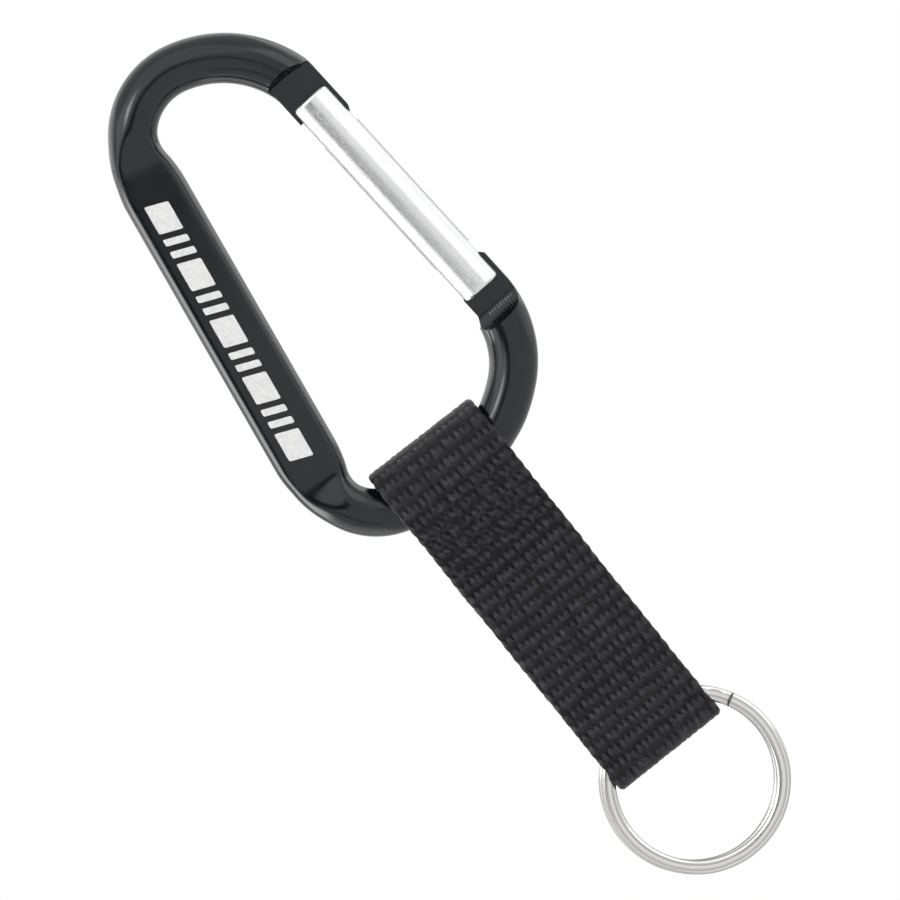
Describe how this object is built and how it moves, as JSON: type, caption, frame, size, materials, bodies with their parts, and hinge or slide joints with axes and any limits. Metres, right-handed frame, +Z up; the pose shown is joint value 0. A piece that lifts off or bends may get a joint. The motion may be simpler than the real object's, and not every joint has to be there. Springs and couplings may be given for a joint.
{
  "type": "carabiner keyring",
  "caption": "Aluminium D carabiner with a pressed flat spine and sprung straight gate, a looped woven webbing strap and a split key ring.",
  "frame": {"origin": "inner top of the carabiner's hook bend, on its mid-plane: the point the part hangs from", "axes": "+Z up along the strap, which hangs straight down; +Y from the front to the back, square to the carabiner's flat faces; +X from the spine towards the gate"},
  "size_m": [0.045, 0.0126, 0.1482],
  "materials": {
    "black_anodised": "bright black anodising, white pad print on the spine",
    "bare_aluminium": "tumbled and polished, clear anodised",
    "steel_pin": "flush ground rivet",
    "spring_steel": "drawn spring wire",
    "plunger_brass": "turned",
    "webbing": "ribbed polyester webbing, black",
    "thread": "bonded sewing thread, black",
    "nickel_ring": "nickel plated spring steel"
  },
  "bodies": {
    "carabiner": {"carabiner_body": "black_anodised"},
    "gate": {"gate_tube": "bare_aluminium", "gate_pivot_pin": "steel_pin", "gate_latch_pin": "steel_pin", "gate_spring": "spring_steel"},
    "plunger": {"gate_plunger": "plunger_brass"},
    "strap": {"webbing_strap": "webbing", "webbing_stitch_upper": "thread", "webbing_stitch_lower": "thread"},
    "ring_end": {"webbing_ring_loop": "webbing"},
    "ring": {"split_ring": "nickel_ring"}
  },
  "joints": [
    {"name": "gate_pivot", "type": "hinge", "parent": "carabiner", "child": "gate", "pos_m": [0.01734, 0, -0.04852], "axis": [0, -1, 0], "range_deg": [0, 28], "stiffness_Nm_per_rad": 0.06, "springref_deg": -34.38},
    {"name": "plunger_slide", "type": "slide", "parent": "gate", "child": "plunger", "axis": [-0.0576, 0, 0.9983], "range_m": [0, 0.00085], "deforming": ["gate_spring"]},
    {"name": "strap_swing", "type": "hinge", "parent": "carabiner", "child": "strap", "pos_m": [-0.00386, 0, -0.06855], "axis": [1, 0, 0], "range_deg": [-135, 135]},
    {"name": "ring_flex", "type": "hinge", "parent": "strap", "child": "ring_end", "pos_m": [-0.00386, 0, -0.10933], "axis": [1, 0, 0], "range_deg": [-90, 90]},
    {"name": "ring_spin", "type": "hinge", "parent": "ring_end", "child": "ring", "pos_m": [-0.00386, 0, -0.12687], "axis": [0, 1, 0], "continuous": true}
  ],
  "couplings": [
    {"joint": "plunger_slide", "follows": "gate_pivot", "m_per_rad": 0.0016}
  ]
}
